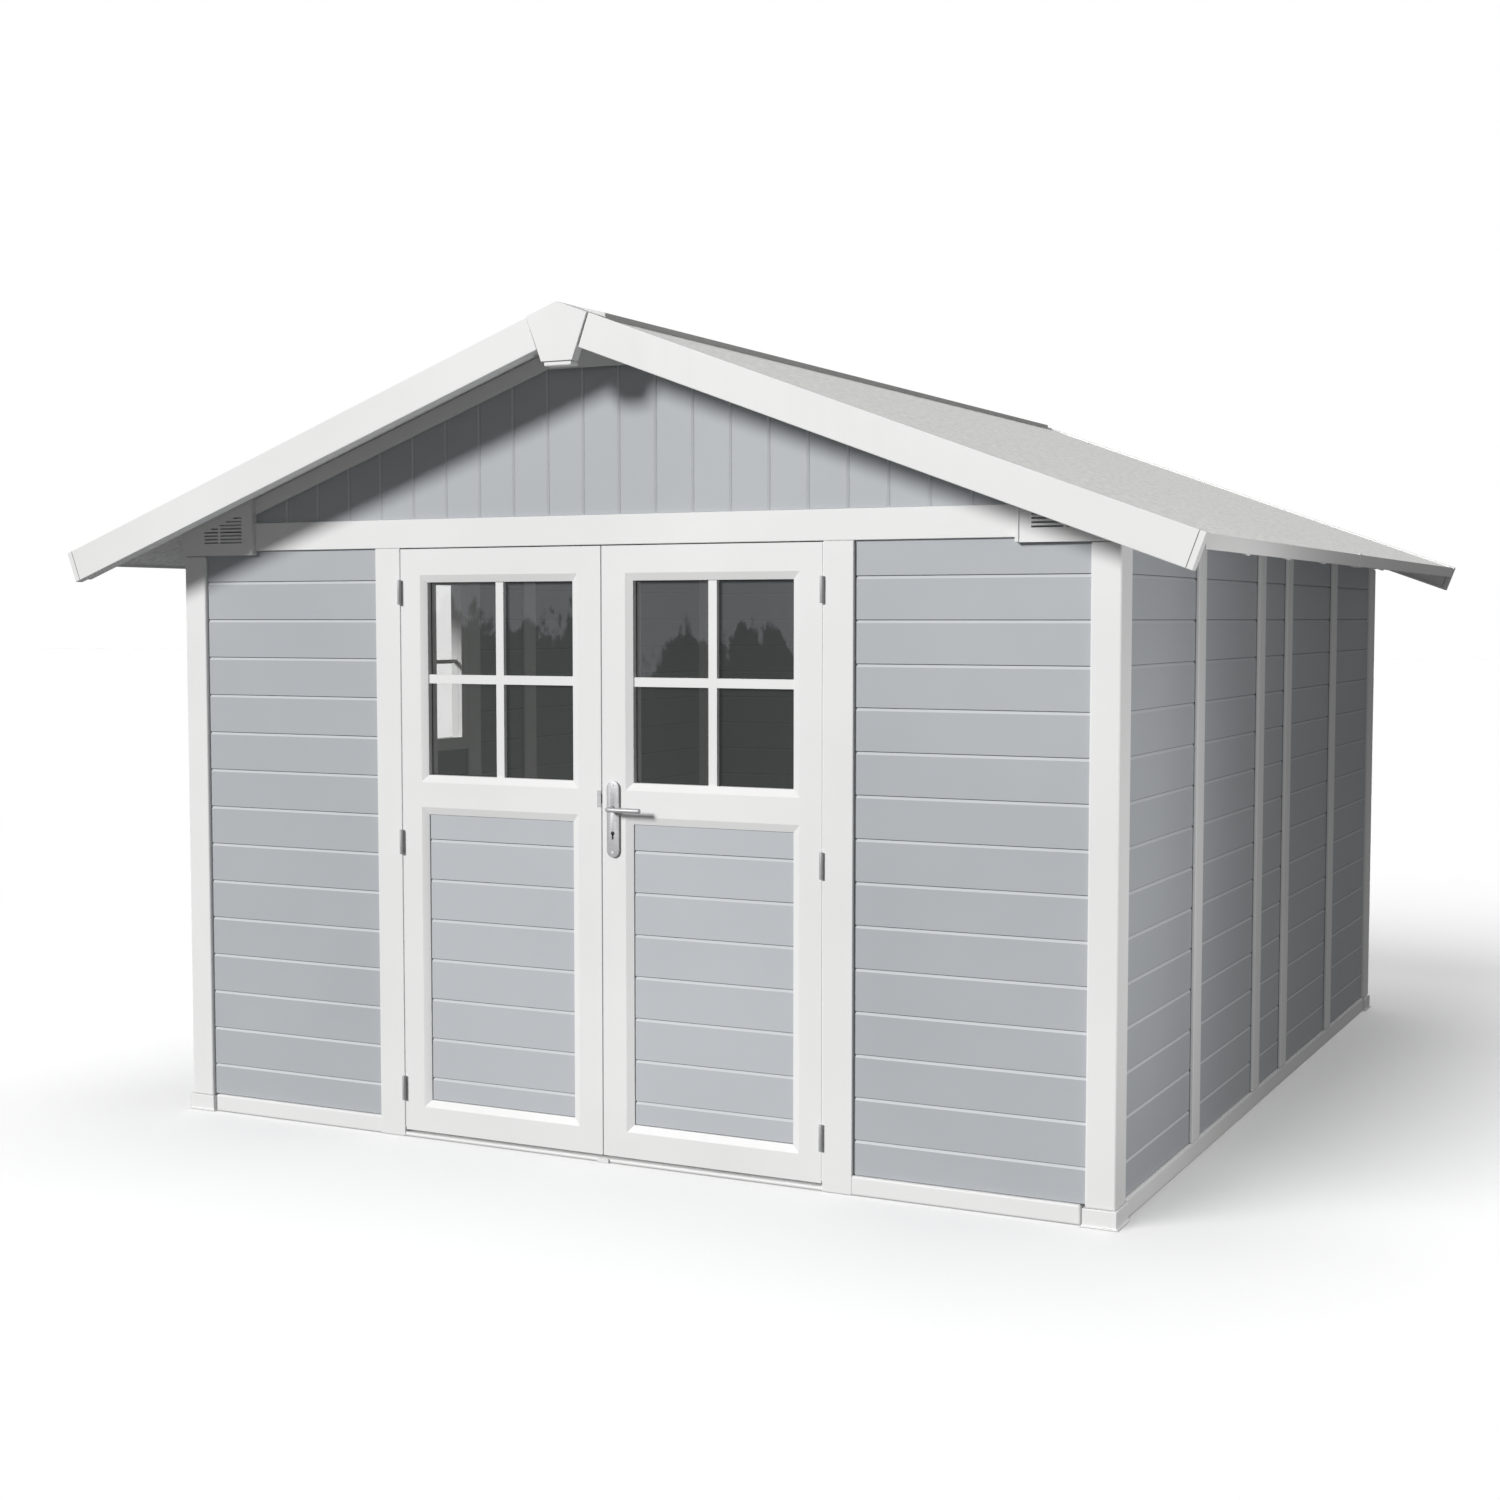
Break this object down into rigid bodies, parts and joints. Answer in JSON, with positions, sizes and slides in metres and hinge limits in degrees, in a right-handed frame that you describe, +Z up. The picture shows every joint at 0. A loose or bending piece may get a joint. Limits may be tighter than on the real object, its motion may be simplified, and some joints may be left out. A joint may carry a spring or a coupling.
{
  "type": "garden shed",
  "caption": "Gable-roofed plastic garden shed with stacked-board walls, a pair of half-glazed hinged doors, a lever handle, corner vents and one fixed side window.",
  "frame": {"origin": "middle of the floor, at the height of the ground that the base rails stand on", "axes": "+Z up, the doors face -Y, +X is to the right for someone who faces the doors; the ridge runs along Y"},
  "size_m": [3.72, 4.1, 2.5186],
  "materials": {
    "white_plastic": "satin white rigid plastic",
    "blue_grey_plastic": "satin light blue-grey rigid plastic",
    "roof_plastic": "rough granular white",
    "dark_glass": "clear glazing that looks dark from outside",
    "galvanised_steel": "dull grey zinc",
    "aluminium": "satin anodised"
  },
  "bodies": {
    "shell": {"front_base_rail": "white_plastic", "front_gable": "blue_grey_plastic", "front_header": "white_plastic", "front_key_piece": "white_plastic", "front_left_bargeboard": "white_plastic", "front_left_corner_post": "white_plastic", "front_left_foot": "white_plastic", "front_left_vent_cover": "white_plastic", "front_left_wall": "blue_grey_plastic", "front_right_bargeboard": "white_plastic", "front_right_corner_post": "white_plastic", "front_right_foot": "white_plastic", "front_right_vent_cover": "white_plastic", "front_right_wall": "blue_grey_plastic", "left_base_rail": "white_plastic", "left_fascia": "white_plastic", "left_hinge_bottom": "galvanised_steel", "left_hinge_middle": "galvanised_steel", "left_hinge_top": "galvanised_steel", "left_jamb": "white_plastic", "left_post_1": "white_plastic", "left_post_2": "white_plastic", "left_post_3": "white_plastic", "left_post_4": "white_plastic", "left_roof_panel": "roof_plastic", "left_wall": "blue_grey_plastic", "rear_base_rail": "white_plastic", "rear_gable": "blue_grey_plastic", "rear_key_piece": "white_plastic", "rear_left_bargeboard": "white_plastic", "rear_left_corner_post": "white_plastic", "rear_right_bargeboard": "white_plastic", "rear_right_corner_post": "white_plastic", "rear_wall": "blue_grey_plastic", "ridge_beam": "galvanised_steel", "ridge_cap": "white_plastic", "right_base_rail": "white_plastic", "right_fascia": "white_plastic", "right_hinge_bottom": "galvanised_steel", "right_hinge_middle": "galvanised_steel", "right_hinge_top": "galvanised_steel", "right_jamb": "white_plastic", "right_post_1": "white_plastic", "right_post_2": "white_plastic", "right_post_3": "white_plastic", "right_post_4": "white_plastic", "right_roof_panel": "roof_plastic", "right_wall": "blue_grey_plastic", "side_window_frame": "white_plastic", "side_window_glass": "dark_glass"},
    "left_door": {"left_door_leaf": "white_plastic", "left_door_lower_panel": "blue_grey_plastic", "left_door_glass": "dark_glass"},
    "right_door": {"right_door_leaf": "white_plastic", "right_door_lower_panel": "blue_grey_plastic", "right_door_glass": "dark_glass", "handle_plate": "aluminium"},
    "lever": {"lever_handle": "aluminium"},
    "latch": {"latch_bolt": "aluminium"}
  },
  "joints": [
    {"name": "left_door_hinge", "type": "hinge", "parent": "shell", "child": "left_door", "pos_m": [-0.71883, -1.8168, 0], "axis": [0, 0, -1], "range_deg": [0, 110]},
    {"name": "right_door_hinge", "type": "hinge", "parent": "shell", "child": "right_door", "pos_m": [0.71883, -1.8168, 0], "axis": [0, 0, 1], "range_deg": [0, 110]},
    {"name": "lever_turn", "type": "hinge", "parent": "right_door", "child": "lever", "pos_m": [0.0415, -1.808, 1.065], "axis": [0, 1, 0], "range_deg": [0, 40], "stiffness_Nm_per_rad": 1.5, "springref_deg": -11.46},
    {"name": "latch_slide", "type": "slide", "parent": "right_door", "child": "latch", "axis": [1, 0, 0], "range_m": [0, 0.011]}
  ],
  "couplings": [
    {"joint": "latch_slide", "follows": "lever_turn", "m_per_rad": 0.01575}
  ]
}
